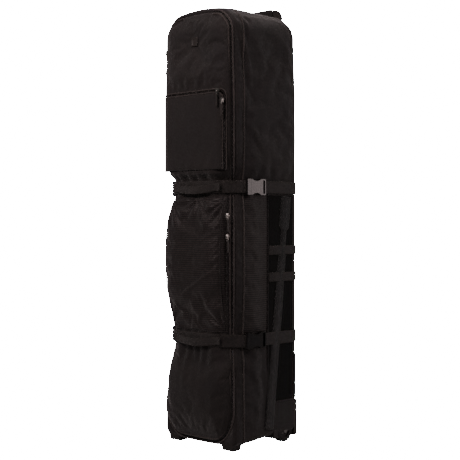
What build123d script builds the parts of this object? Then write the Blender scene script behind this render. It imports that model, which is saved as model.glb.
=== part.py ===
from build123d import *
import math
import os

# A soft golf travel case that stands upright on two front feet and two rear
# wheels. X runs across its width, the front faces -Y, and Z is up from the
# floor. All sizes are in millimetres. Its left side mirrors its right.

# ---- case ----
case_width = 308.0
case_depth = 274.0  # from the zipper plane to the back
case_top = 1322.0
base_clearance = 28.0  # the fabric bottom stands this high above the floor
wall = 6.0  # padded fabric
back_corner = 20.0  # upright edges at the back
rim_corner = 7.0  # upright edges at the zipper plane
top_corner = 58.0  # seen from the front
top_back_corner = 52.0  # seen from the side
top_front_corner = 14.0
bottom_corner = 20.0
tray_thick = 4.0

# ---- lid ----
lid_half_width = 140.0
lid_low, lid_high = 42.0, 1304.0
lid_wall = 5.0
lid_bulge = 28.0  # how far the panels stand in front of the zipper plane
waist = 10.0  # the same, where the straps pull the panels in
lid_edge = 9.0  # the same, at the lid's top and bottom edges
low_slope, high_slope = 60.0, 38.0  # lengths over which the edges reach the bulge
waist_slope = 20.0
lid_round = 7.0  # softens the lid's side profile
lid_bottom_corner = 78.0
lid_top_corner = 56.0
lid_plan_corner = 5.5

# ---- straps and buckles ----
strap_width = 38.0
strap_thick = 2.0
upper_strap_z, lower_strap_z = 786.0, 327.0
strap_margin = 3.0  # flat lid above and below each strap
front_standoff = 4.0  # the run beside the front corner
strap_turn = 14.0  # radius round the front corner
handle_width = 25.0
handle_reach, handle_foot, handle_bow = 104.0, 20.0, 8.0
buckle_mouth = 55.0  # from the zipper plane back to the socket's mouth
buckle_half = 24.0
buckle_low, buckle_high = 2.0, 13.0  # off the case wall
socket_length = 64.0
buckle_round = 3.0
socket_bar = 4.0  # the end bar that holds the back strap
arc_radius, arc_depth = 34.0, 6.0  # the concave sides of the socket
socket_window = 8.0
frame_length = 14.0
mouth_gap = 0.5
strap_slot = 0.6  # play of the strap in the ladder frame
prong_low, prong_high = 7.5, 11.0  # off the case wall
prong_length, prong_half = 20.0, 16.0
prong_fit = 0.5

# ---- pockets ----
mid_half_width = 132.0
mid_low, mid_high = 352.0, 757.0
mid_proud = 36.0  # in front of the zipper plane
mid_wall = 3.0
mid_edge, mid_slope = 8.0, 70.0
mid_corner = 12.0
mid_chain_inset = 28.0  # from the pocket's top and bottom
mid_chain_back = 2.0  # from the lid's face
slit_width = 4.0
flap_half_width = 125.0
flap_low, flap_high = 836.0, 1066.0
flap_thick = 4.0
flap_corner = 14.0
flap_fit = 1.0
flap_seat = 0.3  # behind the closed flap
pocket_room = 11.0  # depth behind the flap
pocket_wall = 3.0
pocket_ledge = 8.0  # the pocket's opening is this much smaller than the flap
patch_size, patch_z, patch_thick = 30.0, 1227.0, 1.2

# ---- zippers ----
chain_width = 8.0
chain_thick = 1.2
main_gap = 7.0  # between lid and case, where the main chain runs
half_chain_gap = 0.4
slider_gap = 0.3
slider_long, slider_wide, slider_thick = 14.0, 9.0, 3.5
slider_round = 2.0
post_wide, post_deep = 1.6, 3.4
pin_radius, pin_off, pin_play = 0.9, 5.5, 0.3
pull_hub, pull_half, pull_thick, pull_long = 1.9, 2.5, 1.8, 50.0
pull_tip_half = 3.5
main_sliders = (1210.0, 1148.0)  # heights on the left run
mid_sliders = (700.0, 638.0)  # heights on the right wall
flap_slider_x, flap_slider_z = 111.0, 1040.0

# ---- wheels, housings and feet ----
wheel_radius = 35.0
wheel_width = 24.0
wheel_inset = 5.0  # outer face, from the case side
wheel_from_back = 50.0  # axle to the back
tyre_inner = 24.0
tyre_round = 4.0
hub_dish = 4.0
bearing_radius, bearing_width = 11.0, 7.0
axle_radius, bearing_bore = 3.9, 4.0
axle_cap_radius, axle_cap_thick, axle_cap_gap = 7.0, 2.0, 0.4
well_fit = 3.0
housing_width = 46.0
housing_depth = 107.0
housing_low = 18.0
housing_front_top, housing_back_top = 62.0, 128.0
foot_length, foot_depth = 56.0, 44.0
foot_taper = 14.0
foot_inset = 10.0
foot_round = 8.0

# ---- side and back webbing ----
backing_thick = 1.0
backing_low, backing_high = 132.0, 764.0
backing_front, backing_back = 146.0, 23.0  # ahead of the back
haul_width, haul_thick = 46.0, 3.0
haul_top_z, haul_low_z = 760.0, 50.0
haul_top_back, haul_low_back = 53.0, 130.0  # centre line, ahead of the back
band_width = 28.0
band_z = (595.0, 513.0)
band_front = 134.0  # ahead of the back
pad_half_width, pad_low, pad_gap = 118.0, 290.0, 142.0  # and its top's gap to the case's top
rail_thick = 5.0
rail_inner = 112.0  # from the centre, on the back
rail_low, rail_high = 136.0, 270.0

# ---- haul handle at the top of the back ----
grab_half, grab_rise, grab_drop = 92.0, 34.0, 132.0  # above and below the case's top
grab_width = 26.0
grab_corner = 34.0
grab_thick = 3.0
grip_half = 52.0
grip_round = 4.0
grip_over = 3.0  # the grip's padding above and below the webbing
grip_front, grip_back = 7.0, 2.0  # in front of and behind the webbing

# ---- worked out from the sizes above ----
haul_outer = backing_thick + haul_thick
pad_thick = haul_outer
strap_outer = haul_outer + strap_thick
slider_reach = chain_thick + slider_gap + pin_off + pull_hub
front_reach = max(mid_proud, lid_bulge + slider_reach)
rim_y = front_reach - (front_reach + case_depth + strap_outer) / 2
back_y = rim_y + case_depth
side_x = case_width / 2
lid_front_y = rim_y - lid_bulge
waist_y = rim_y - waist
mid_front_y = rim_y - mid_proud
strap_half = strap_width / 2 + strap_margin
axle_x = side_x - wheel_inset - wheel_width / 2
axle_y = back_y - wheel_from_back
well_inner = axle_x - wheel_width / 2 - well_fit
mouth_y = rim_y + buckle_mouth
tray_low = base_clearance - tray_thick
grab_low, grab_high = case_top - grab_drop, case_top + grab_rise
pad_high = case_top - pad_gap
far = 6 * case_width  # longer than anything it cuts
sides = (("left", -1), ("right", 1))
straps = (("upper", upper_strap_z), ("lower", lower_strap_z))

os.makedirs("parts", exist_ok=True)


def save(part, name):
    """Writes one sub-part under its own name."""
    part.label = name
    export_step(part, f"parts/{name}.step")


def mirrored(part, sign):
    """The right-hand part, or its copy for the left."""
    return part if sign > 0 else mirror(part, about=Plane.YZ)


def block(low, high):
    """A plain block between two corners, outside any builder."""
    size = [b - a for a, b in zip(low, high)]
    return Pos(*low) * Box(*size, align=(Align.MIN,) * 3, mode=Mode.PRIVATE)


def side_prism(points, x_low, x_high, soften=0.0, sharp=0):
    """A side-view outline of (y, z) points as a solid between two x values."""
    with BuildPart() as prism:
        with BuildSketch(Plane.YZ.offset(x_low)) as outline:
            with BuildLine():
                Polyline(*points, close=True)
            make_face()
            if soften:
                ahead = outline.vertices().sort_by(Axis.X)[: len(points) - sharp]
                fillet(ahead, soften)
        extrude(amount=x_high - x_low)
    return prism.part


# ======================= case =======================


def case_form(inset):
    """The case's outer form, taken in by inset on every side."""
    low, high = base_clearance + inset, case_top - inset
    half, front, rear = side_x - inset, rim_y + inset, back_y - inset
    with BuildPart() as form:
        with BuildSketch(Plane.XY.offset(low)) as plan:
            with Locations((0, (front + rear) / 2)):
                Rectangle(2 * half, rear - front)
            fillet(plan.vertices().group_by(Axis.Y)[-1], back_corner - inset)
            fillet(plan.vertices().group_by(Axis.Y)[0], rim_corner)
        extrude(amount=high - low)
        with BuildSketch(Plane.XZ) as face:
            with Locations((0, (low + high) / 2)):
                Rectangle(2 * half, high - low)
            fillet(face.vertices().group_by(Axis.Y)[-1], top_corner - inset)
            fillet(face.vertices().group_by(Axis.Y)[0], bottom_corner - inset)
        extrude(amount=far, both=True, mode=Mode.INTERSECT)
        with BuildSketch(Plane.YZ) as profile:
            with Locations(((front + rear) / 2, (low + high) / 2)):
                Rectangle(rear - front, high - low)
            fillet(profile.vertices().group_by(Axis.Y)[-1].sort_by(Axis.X)[-1], top_back_corner - inset)
            fillet(profile.vertices().group_by(Axis.Y)[-1].sort_by(Axis.X)[0], top_front_corner)
        extrude(amount=far, both=True, mode=Mode.INTERSECT)
    return form.part


def lid_prism(grow, y_low, y_high):
    """The lid's outline seen from the front, larger by grow, between two y values."""
    half, low, high = lid_half_width + grow, lid_low - grow, lid_high + grow
    with BuildPart() as prism:
        with BuildSketch(Plane.XZ.offset(-y_high)) as outline:
            with Locations((0, (low + high) / 2)):
                Rectangle(2 * half, high - low)
            fillet(outline.vertices().group_by(Axis.Y)[0], lid_bottom_corner + grow)
            fillet(outline.vertices().group_by(Axis.Y)[-1], lid_top_corner + grow)
        extrude(amount=y_high - y_low)
    return prism.part


def housing_block(x_high, y_high):
    """A rear corner's moulded housing, or the room it takes, on the right."""
    near = back_y - housing_depth
    rise = (housing_back_top - housing_front_top) / housing_depth
    points = [(near, housing_low), (near, housing_front_top),
              (y_high, housing_front_top + rise * (y_high - near)), (y_high, housing_low)]
    return side_prism(points, side_x - housing_width, x_high)


with BuildPart() as main_shell:
    add(case_form(0))
    add(case_form(wall), mode=Mode.SUBTRACT)
    add(lid_prism(main_gap, rim_y - 1, rim_y + wall + 1), mode=Mode.SUBTRACT)
    for _, sign in sides:
        add(mirrored(housing_block(far, back_y + far), sign), mode=Mode.SUBTRACT)
save(main_shell.part, "main_shell")

with BuildPart() as base_tray:
    add(block((bottom_corner - side_x, rim_y + rim_corner, tray_low),
              (side_x - bottom_corner, back_y - rim_corner, base_clearance)))
    for _, sign in sides:
        add(mirrored(housing_block(far, back_y + far), sign), mode=Mode.SUBTRACT)
save(base_tray.part, "base_tray")

for side, sign in sides:
    with BuildPart() as front_foot:
        foot_x = side_x - foot_inset - foot_length / 2
        foot_y = rim_y + foot_depth / 2
        with BuildSketch(Plane.XY.offset(tray_low)):
            with Locations((sign * foot_x, foot_y)):
                RectangleRounded(foot_length, foot_depth, foot_round)
        extrude(amount=-tray_low, taper=foot_taper)
    save(front_foot.part, f"front_foot_{side}")

    with BuildPart() as housing:
        add(housing_block(side_x, back_y))
        with Locations(Location((well_inner, axle_y, wheel_radius), (0, 90, 0))):
            Cylinder(wheel_radius + well_fit, far, mode=Mode.SUBTRACT,
                     align=(Align.CENTER, Align.CENTER, Align.MIN))
        with Locations(Location((axle_x, axle_y, wheel_radius), (0, 90, 0))):
            Cylinder(axle_radius, housing_width * 2, mode=Mode.SUBTRACT)
    save(mirrored(housing.part, sign), f"wheel_housing_{side}")

    with BuildPart() as axle:
        axle_end = axle_x + wheel_width / 2 + axle_cap_gap
        axle_start = side_x - housing_width
        with Locations(Location((axle_start, axle_y, wheel_radius), (0, 90, 0))):
            Cylinder(axle_radius, axle_end - axle_start, align=(Align.CENTER, Align.CENTER, Align.MIN))
        with Locations(Location((axle_end, axle_y, wheel_radius), (0, 90, 0))):
            Cylinder(axle_cap_radius, axle_cap_thick, align=(Align.CENTER, Align.CENTER, Align.MIN))
    save(mirrored(axle.part, sign), f"axle_{side}")

    wheel_place = Location((sign * axle_x, axle_y, wheel_radius), (0, 90, 0))
    with BuildPart() as tyre:
        Cylinder(wheel_radius, wheel_width)
        fillet(tyre.edges().filter_by(GeomType.CIRCLE), tyre_round)
        Cylinder(tyre_inner, wheel_width, mode=Mode.SUBTRACT)
    save(wheel_place * tyre.part, f"wheel_tyre_{side}")

    with BuildPart() as hub:
        Cylinder(tyre_inner, wheel_width)
        Cylinder(bearing_radius, wheel_width, mode=Mode.SUBTRACT)
        for end in (-1, 1):
            with Locations((0, 0, end * wheel_width / 2)):
                Cylinder(tyre_inner - hub_dish, 2 * hub_dish, mode=Mode.SUBTRACT)
    save(wheel_place * hub.part, f"wheel_hub_{side}")

    with BuildPart() as bearing:
        Cylinder(bearing_radius, bearing_width)
        Cylinder(bearing_bore, bearing_width, mode=Mode.SUBTRACT)
    save(wheel_place * bearing.part, f"wheel_bearing_{side}")


# ======================= webbing on the sides and back =======================


def wrap(half, y_face, radius, y_open, z_low, z_high, thick=strap_thick):
    """A flat band round three sides; its inner faces lie at +-half and at y_face."""
    toward = math.copysign(1, y_face - y_open)
    with BuildPart() as band:
        for grow, mode in ((thick, Mode.ADD), (0, Mode.SUBTRACT)):
            start = y_open - (toward if grow == 0 else 0)
            end = y_face + toward * grow
            with BuildSketch(Plane.XY.offset(z_low)) as outline:
                with Locations((0, (start + end) / 2)):
                    Rectangle(2 * (half + grow), abs(end - start))
                rows = outline.vertices().group_by(Axis.Y)
                fillet(rows[-1 if toward > 0 else 0], radius + grow)
            extrude(amount=z_high - z_low, mode=mode)
    return band.part


with BuildPart() as back_pad:
    add(block((-pad_half_width, back_y, pad_low), (pad_half_width, back_y + pad_thick, pad_high)))
save(back_pad.part, "back_pad")

for side, sign in sides:
    with BuildPart() as backing:
        add(block((side_x, back_y - backing_front, backing_low),
                  (side_x + backing_thick, back_y - backing_back, backing_high)))
    save(mirrored(backing.part, sign), f"side_backing_{side}")

    with BuildPart() as haul:
        top_y, low_y = back_y - haul_top_back, back_y - haul_low_back
        haul_points = [(top_y - haul_width / 2, haul_top_z), (top_y + haul_width / 2, haul_top_z),
                       (low_y + haul_width / 2, haul_low_z), (low_y - haul_width / 2, haul_low_z)]
        add(side_prism(haul_points, side_x + backing_thick, side_x + haul_outer))
    save(mirrored(haul.part, sign), f"haul_strap_{side}")

    with BuildPart() as rail:
        add(wrap(side_x, back_y, back_corner, back_y - back_corner, rail_low, rail_high, rail_thick))
        add(block((rail_inner, back_y - far, rail_low), (far, back_y + far, rail_high)), mode=Mode.INTERSECT)
    save(mirrored(rail.part, sign), f"skid_rail_{side}")

for name, middle in zip(("upper", "lower"), band_z):
    with BuildPart() as band:
        add(wrap(side_x + haul_outer, back_y + pad_thick, back_corner + haul_outer,
                 back_y - band_front, middle - band_width / 2, middle + band_width / 2))
    save(band.part, f"back_band_{name}")

for name, middle in straps:
    with BuildPart() as strap_back:
        add(wrap(side_x + haul_outer, back_y + pad_thick, back_corner + haul_outer,
                 mouth_y + socket_length, middle - strap_width / 2, middle + strap_width / 2))
    save(strap_back.part, f"strap_back_{name}")

with BuildPart() as grab_webbing:
    for grow, mode in ((0, Mode.ADD), (grab_width, Mode.SUBTRACT)):
        low, high = grab_low - grow, grab_high - grow
        with BuildSketch(Plane.XZ.offset(-back_y - grab_thick)) as outline:
            with Locations((0, (low + high) / 2)):
                Rectangle(2 * (grab_half - grow), high - low)
            fillet(outline.vertices().group_by(Axis.Y)[-1], grab_corner - grow)
        extrude(amount=grab_thick, mode=mode)
save(grab_webbing.part, "grab_webbing")

with BuildPart() as grab_grip:
    add(block((-grip_half, back_y - grip_front, grab_high - grab_width - grip_over),
              (grip_half, back_y + grab_thick + grip_back, grab_high + grip_over)))
    fillet(grab_grip.edges().filter_by(Axis.X), grip_round)
    add(grab_webbing.part, mode=Mode.SUBTRACT)
save(grab_grip.part, "grab_grip")

# ======================= buckles =======================

for level, middle in straps:
    for side, sign in sides:
        with BuildPart() as socket:
            add(block((side_x + buckle_low, mouth_y, middle - buckle_half),
                      (side_x + buckle_high, mouth_y + socket_length, middle + buckle_half)))
            fillet(socket.edges().filter_by(Axis.X), buckle_round)
            cavity = socket_length - 2 * socket_bar - socket_window
            half = buckle_half - socket_bar
            add(block((side_x + prong_low - prong_fit, mouth_y - 1, middle - half),
                      (side_x + prong_high + prong_fit, mouth_y + cavity, middle + half)),
                mode=Mode.SUBTRACT)
            window_y = mouth_y + socket_length - socket_bar - socket_window
            add(block((side_x, window_y, middle - half),
                      (side_x + 2 * buckle_high, window_y + socket_window, middle + half)),
                mode=Mode.SUBTRACT)
            for up in (-1, 1):
                arc_z = middle + up * (buckle_half - arc_depth + arc_radius)
                with Locations(Location((side_x, mouth_y + cavity / 2, arc_z), (0, 90, 0))):
                    Cylinder(arc_radius, 4 * buckle_high, mode=Mode.SUBTRACT)
        save(mirrored(socket.part, sign), f"buckle_socket_{level}_{side}")

        with BuildPart() as male:
            frame_y = mouth_y - mouth_gap - frame_length
            add(block((side_x + buckle_low, frame_y, middle - buckle_half),
                      (side_x + buckle_high, frame_y + frame_length, middle + buckle_half)))
            fillet(male.edges().filter_by(Axis.X), buckle_round)
            slot_half = strap_width / 2 + strap_slot
            add(block((side_x + front_standoff - strap_slot, frame_y - 1, middle - slot_half),
                      (side_x + front_standoff + strap_thick + strap_slot,
                       frame_y + frame_length + 1, middle + slot_half)), mode=Mode.SUBTRACT)
            for up in (-1, 1):
                near, wide = sorted((middle + up * prong_half / 2, middle + up * prong_half))
                add(block((side_x + prong_low, frame_y + frame_length, near),
                          (side_x + prong_high, mouth_y + prong_length, wide)))
        save(mirrored(male.part, sign), f"buckle_male_{level}_{side}")

# ======================= lid =======================


def lid_form(inset, y_back):
    """The lid's outer form back to y_back, its front and sides taken in by inset."""
    low, high = lid_low + inset, lid_high - inset
    front, pulled, edge = lid_front_y + inset, waist_y + inset, rim_y - lid_edge + inset
    waist_low, waist_high = lower_strap_z - strap_half, upper_strap_z + strap_half
    points = [(y_back, low), (edge, low), (front, low + low_slope),
              (front, waist_low - waist_slope), (pulled, waist_low), (pulled, waist_high),
              (front, waist_high + waist_slope), (front, high - high_slope), (edge, high), (y_back, high)]
    with BuildPart() as form:
        with BuildSketch(Plane.XY.offset(low)) as plan:
            with Locations((0, (front + y_back) / 2)):
                Rectangle(2 * (lid_half_width - inset), y_back - front)
            fillet(plan.vertices().group_by(Axis.Y)[0], lid_plan_corner - inset)
        extrude(amount=high - low)
        add(side_prism(points, -case_width, case_width, lid_round, 2), mode=Mode.INTERSECT)
        add(lid_prism(-inset, front - 1, y_back), mode=Mode.INTERSECT)
    return form.part


def flap_prism(grow, y_low, y_high):
    """The pocket flap's outline, larger by grow, between two y values."""
    low, high = flap_low - grow, flap_high + grow
    with BuildPart() as prism:
        with BuildSketch(Plane.XZ.offset(-y_high)) as outline:
            with Locations((0, (low + high) / 2)):
                Rectangle(2 * (flap_half_width + grow), high - low)
            fillet(outline.vertices().group_by(Axis.Y)[-1], flap_corner + grow)
        extrude(amount=y_high - y_low)
    return prism.part


flap_back_y = lid_front_y + flap_thick + flap_seat
with BuildPart() as lid_panel:
    add(lid_form(0, rim_y + wall))
    add(lid_form(lid_wall, rim_y + wall + 1), mode=Mode.SUBTRACT)
    add(flap_prism(pocket_wall + flap_fit, lid_front_y + lid_round, flap_back_y + pocket_room + pocket_wall))
    add(flap_prism(pocket_wall + flap_fit, lid_front_y, lid_front_y + lid_round))
    add(flap_prism(flap_fit, lid_front_y - 1, flap_back_y), mode=Mode.SUBTRACT)
    add(flap_prism(-pocket_ledge, lid_front_y, flap_back_y + pocket_room), mode=Mode.SUBTRACT)
save(lid_panel.part, "lid_panel")

with BuildPart() as upper_pocket_flap:
    add(flap_prism(0, lid_front_y, lid_front_y + flap_thick))
save(upper_pocket_flap.part, "upper_pocket_flap")

with BuildPart() as upper_pocket_zipper:
    add(flap_prism(flap_fit + chain_width, lid_front_y - chain_thick, lid_front_y))
    add(flap_prism(flap_fit, lid_front_y - chain_thick, lid_front_y), mode=Mode.SUBTRACT)
    add(block((-far, -far, flap_low), (far, far, far)), mode=Mode.INTERSECT)
save(upper_pocket_zipper.part, "upper_pocket_zipper")

for name, outer, inner in (("case", main_gap, (main_gap + half_chain_gap) / 2),
                           ("lid", (main_gap - half_chain_gap) / 2, 0)):
    with BuildPart() as main_zipper:
        add(lid_prism(outer, rim_y - chain_thick / 2, rim_y + chain_thick / 2))
        add(lid_prism(inner, rim_y - chain_thick, rim_y + chain_thick), mode=Mode.SUBTRACT)
        add(block((-far, -far, 0), (far, far, lid_high - lid_top_corner)), mode=Mode.INTERSECT)
    save(main_zipper.part, f"main_zipper_{name}")


def mid_form(inset):
    """The middle pocket's outer form, taken in by inset on its free sides."""
    low, high = mid_low + inset, mid_high - inset
    edge, front = waist_y - mid_edge + inset, mid_front_y + inset
    points = [(waist_y, low), (edge, low), (front, low + mid_slope),
              (front, high - mid_slope), (edge, high), (waist_y, high)]
    half = mid_half_width - inset
    with BuildPart() as form:
        with BuildSketch(Plane.XY.offset(low)) as plan:
            with Locations((0, (front + waist_y) / 2)):
                Rectangle(2 * half, waist_y - front)
            fillet(plan.vertices().group_by(Axis.Y)[0], mid_corner - inset)
        extrude(amount=high - low)
        add(side_prism(points, -half, half), mode=Mode.INTERSECT)
    return form.part


mid_chain_y = waist_y - mid_chain_back - chain_width / 2
mid_chain_low, mid_chain_high = mid_low + mid_chain_inset, mid_high - mid_chain_inset
with BuildPart() as mid_pocket:
    add(mid_form(0))
    add(mid_form(mid_wall), mode=Mode.SUBTRACT)
    add(block((mid_half_width - 2 * mid_wall, mid_chain_y - slit_width / 2, mid_chain_low + chain_width),
              (far, mid_chain_y + slit_width / 2, mid_chain_high - chain_width)), mode=Mode.SUBTRACT)
save(mid_pocket.part, "mid_pocket")

with BuildPart() as mid_pocket_zipper:
    add(block((mid_half_width, mid_chain_y - chain_width / 2, mid_chain_low),
              (mid_half_width + chain_thick, mid_chain_y + chain_width / 2, mid_chain_high)))
save(mid_pocket_zipper.part, "mid_pocket_zipper")

with BuildPart() as blank_patch:
    add(block((-patch_size / 2, lid_front_y - patch_thick, patch_z - patch_size / 2),
              (patch_size / 2, lid_front_y, patch_z + patch_size / 2)))
save(blank_patch.part, "blank_patch")

for level, middle in straps:
    with BuildPart() as strap_front:
        add(wrap(side_x + front_standoff, waist_y, strap_turn - strap_thick,
                 mouth_y - 4 * mouth_gap, middle - strap_width / 2, middle + strap_width / 2))
    save(strap_front.part, f"strap_front_{level}")

    with BuildPart() as grab_handle:
        base_y = waist_y - strap_thick
        inner_x = handle_reach - handle_foot
        with BuildSketch(Plane.XY.offset(middle - handle_width / 2)):
            with BuildLine():
                ThreePointArc((-inner_x, base_y), (0, base_y - handle_bow), (inner_x, base_y))
                Polyline((inner_x, base_y), (handle_reach, base_y), (handle_reach, base_y - strap_thick))
                ThreePointArc((handle_reach, base_y - strap_thick), (0, base_y - handle_bow - strap_thick),
                              (-handle_reach, base_y - strap_thick))
                Polyline((-handle_reach, base_y - strap_thick), (-handle_reach, base_y), (-inner_x, base_y))
            make_face()
        extrude(amount=handle_width)
    save(grab_handle.part, f"grab_handle_{level}")

# ======================= zipper sliders and pulls =======================


def zip_slider(upright):
    """A slider whose outward side faces -Y, its underside at the origin."""
    long_x, long_z = (slider_wide, slider_long) if upright else (slider_long, slider_wide)
    with BuildPart() as slider:
        add(block((-long_x / 2, -slider_thick, -long_z / 2), (long_x / 2, 0, long_z / 2)))
        fillet(slider.edges().filter_by(Axis.Y), slider_round)
        post_in = pull_half + pin_play
        for turn in (-1, 1):
            low, high = sorted((turn * post_in, turn * (post_in + post_wide)))
            add(block((low, -pin_off - pull_hub + pin_play, -post_deep / 2),
                      (high, -slider_thick, post_deep / 2)))
        with Locations(Location((0, -pin_off, 0), (0, 90, 0))):
            Cylinder(pin_radius, 2 * post_in + post_wide)
    return slider.part


def zip_pull():
    """The pull that hangs from such a slider's pin."""
    with BuildPart() as pull:
        with Locations(Location((0, -pin_off, 0), (0, 90, 0))):
            Cylinder(pull_hub, 2 * pull_half)
        add(block((-pull_half, -pin_off - pull_thick / 2, -pull_long / 3),
                  (pull_half, -pin_off + pull_thick / 2, 0)))
        add(block((-pull_tip_half, -pin_off - pull_thick / 2, -pull_long),
                  (pull_tip_half, -pin_off + pull_thick / 2, -pull_long / 3)))
        with Locations(Location((0, -pin_off, 0), (0, 90, 0))):
            Cylinder(pin_radius + pin_play, 3 * pull_half, mode=Mode.SUBTRACT)
    return pull.part


main_slider_x = lid_half_width + slider_gap + slider_wide / 2
main_slider_y = rim_y - chain_thick / 2 - slider_gap
flap_slider_y = lid_front_y - chain_thick - slider_gap
flap_chain = flap_fit + chain_width / 2
mid_slider_x = mid_half_width + chain_thick + slider_gap
slider_places = (
    ("main_1", True, (-main_slider_x, main_slider_y, main_sliders[0]), 0),
    ("main_2", True, (-main_slider_x, main_slider_y, main_sliders[1]), 0),
    ("flap_1", False, (flap_slider_x, flap_slider_y, flap_high + flap_chain), 0),
    ("flap_2", True, (flap_half_width + flap_chain, flap_slider_y, flap_slider_z), 0),
    ("mid_1", True, (mid_slider_x, mid_chain_y, mid_sliders[0]), 90),
    ("mid_2", True, (mid_slider_x, mid_chain_y, mid_sliders[1]), 90),
)
for name, upright, at, turn in slider_places:
    with BuildPart() as slider:
        add(zip_slider(upright))
    save(Location(at, (0, 0, turn)) * slider.part, f"slider_{name}")
    with BuildPart() as pull:
        add(zip_pull())
    save(Location(at, (0, 0, turn)) * pull.part, f"pull_{name}")
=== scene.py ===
import math
import bpy
import numpy as np
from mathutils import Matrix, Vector, noise


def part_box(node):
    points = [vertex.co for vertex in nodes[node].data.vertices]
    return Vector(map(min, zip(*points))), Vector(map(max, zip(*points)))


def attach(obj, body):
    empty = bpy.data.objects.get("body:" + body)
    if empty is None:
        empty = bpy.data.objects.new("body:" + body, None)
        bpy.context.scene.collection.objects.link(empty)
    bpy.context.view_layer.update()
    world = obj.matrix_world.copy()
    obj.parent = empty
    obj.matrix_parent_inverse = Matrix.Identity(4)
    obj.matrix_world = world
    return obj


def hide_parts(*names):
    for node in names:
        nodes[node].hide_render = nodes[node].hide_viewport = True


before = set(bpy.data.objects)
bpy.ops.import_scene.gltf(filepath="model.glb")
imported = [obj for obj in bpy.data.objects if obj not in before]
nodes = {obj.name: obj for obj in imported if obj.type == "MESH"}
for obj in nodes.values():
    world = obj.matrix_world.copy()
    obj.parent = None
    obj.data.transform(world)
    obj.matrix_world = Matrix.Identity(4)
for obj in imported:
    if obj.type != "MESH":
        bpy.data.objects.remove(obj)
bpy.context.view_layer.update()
print("frame loaded")

# Everything is in metres: X across, the front faces -Y, Z up from the floor.
shellLow, shellHigh = [list(c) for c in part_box("main_shell")]
lidLow, lidHigh = [list(c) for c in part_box("lid_panel")]
rimY, backY, sideX = shellLow[1], shellHigh[1], shellHigh[0]
baseZ, topZ = shellLow[2], shellHigh[2]
lidHalf, lidFront, lidBottom, lidTop = lidHigh[0], lidLow[1], lidLow[2], lidHigh[2]
strapZ = {level: sum(c[2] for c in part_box("strap_front_" + level)) / 2 for level in ("upper", "lower")}
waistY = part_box("mid_pocket")[1][1]
flapLow, flapHigh = [list(c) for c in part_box("upper_pocket_flap")]


# An sRGB hex colour as linear RGBA.
def linear(hexCode):
    parts = [int(hexCode[i:i + 2], 16) / 255 for i in (0, 2, 4)]
    return tuple(c / 12.92 if c <= 0.04045 else ((c + 0.055) / 1.055) ** 2.4 for c in parts) + (1.0,)


# Adds one shader node. Each pair in links is a socket and its source: a number, a colour or another output.
def addNode(tree, kind, links=(), **values):
    node = tree.nodes.new("ShaderNode" + kind)
    for key, value in values.items():
        if hasattr(node, key):
            setattr(node, key, value)
        else:
            node.inputs[key.replace("_", " ")].default_value = value
    for socket, source in links:
        if isinstance(source, bpy.types.NodeSocket):
            tree.links.new(source, node.inputs[socket])
        else:
            node.inputs[socket].default_value = source
    return node


# A principled material, its tree, its shader node and object coordinates.
def newMaterial(name, color, roughness, **extra):
    material = bpy.data.materials.new(name)
    material.use_nodes = True
    tree = material.node_tree
    shader = tree.nodes["Principled BSDF"]
    shader.inputs["Base Color"].default_value = linear(color)
    shader.inputs["Roughness"].default_value = roughness
    for key, value in extra.items():
        shader.inputs[key.replace("_", " ")].default_value = value
    place = addNode(tree, "TexCoord").outputs["Object"]
    return material, tree, shader, place


# The result of one math node.
def maths(tree, operation, *values):
    return addNode(tree, "Math", enumerate(values), operation=operation).outputs[0]


# Fractal noise over the object, whose grains get finer as scale grows.
def speckle(tree, place, scale, detail):
    return addNode(tree, "TexNoise", [("Vector", place)], Scale=scale, Detail=detail).outputs["Fac"]


# Distance round the object, which is enough for a pattern, and height.
def roundAndUp(tree, place):
    split = addNode(tree, "SeparateXYZ", [("Vector", place)]).outputs
    return maths(tree, "ADD", split[0], split[1]), split[2]


# A blend of two colours.
def blended(tree, share, one, other):
    return addNode(tree, "Mix", [(0, share), (6, one), (7, other)], data_type="RGBA").outputs[2]


# A 0 to 1 wave along a coordinate, with its period in metres.
def ribs(tree, value, period):
    wave = maths(tree, "SINE", maths(tree, "MULTIPLY", value, 2 * math.pi / period))
    return maths(tree, "MULTIPLY_ADD", wave, 0.5, 0.5)


# Bumps the shader's normal by layers of a 0 to 1 height and its depth in metres, lowest first.
def relief(tree, shader, *layers):
    under = None
    for height, depth in layers:
        links = [("Height", height)] + ([("Normal", under)] if under else [])
        under = addNode(tree, "Bump", links, Distance=depth, Strength=1.0).outputs[0]
    tree.links.new(under, shader.inputs["Normal"])


# Colour that drifts softly between two shades, as dye and dust leave it.
def mottled(tree, shader, place, dark, light, scale):
    drift = speckle(tree, place, scale, 4.0)
    spread = addNode(tree, "MapRange", [("Value", drift)], From_Min=0.35, From_Max=0.65).outputs[0]
    shade = blended(tree, spread, linear(dark), linear(light))
    tree.links.new(shade, shader.inputs["Base Color"])
    return shade


# Plain woven cloth; grid adds raised ripstop lines at that spacing, painted in the line colour as a painted
# highlight where they catch light.
def wovenCloth(name, dark, light, threadGap, depth, roughness, sheen, grid=0.0, line="000000"):
    material, tree, shader, place = newMaterial(name, dark, roughness, Sheen_Weight=sheen,
                                                Sheen_Roughness=0.45, Specular_IOR_Level=0.35)
    shade = mottled(tree, shader, place, dark, light, 9.0)
    across, up = roundAndUp(tree, place)
    height = maths(tree, "MULTIPLY", ribs(tree, across, threadGap), ribs(tree, up, threadGap))
    if grid:
        raised = maths(tree, "POWER", ribs(tree, up, grid), 3.0)
        height = maths(tree, "MULTIPLY_ADD", height, 0.12, raised)
        # The raised lines take the paler line colour: a painted highlight.
        tree.links.new(blended(tree, raised, shade, linear(line)), shader.inputs["Base Color"])
    relief(tree, shader, (speckle(tree, place, 260.0, 3.0), depth * 0.8), (height, depth))
    return material


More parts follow.
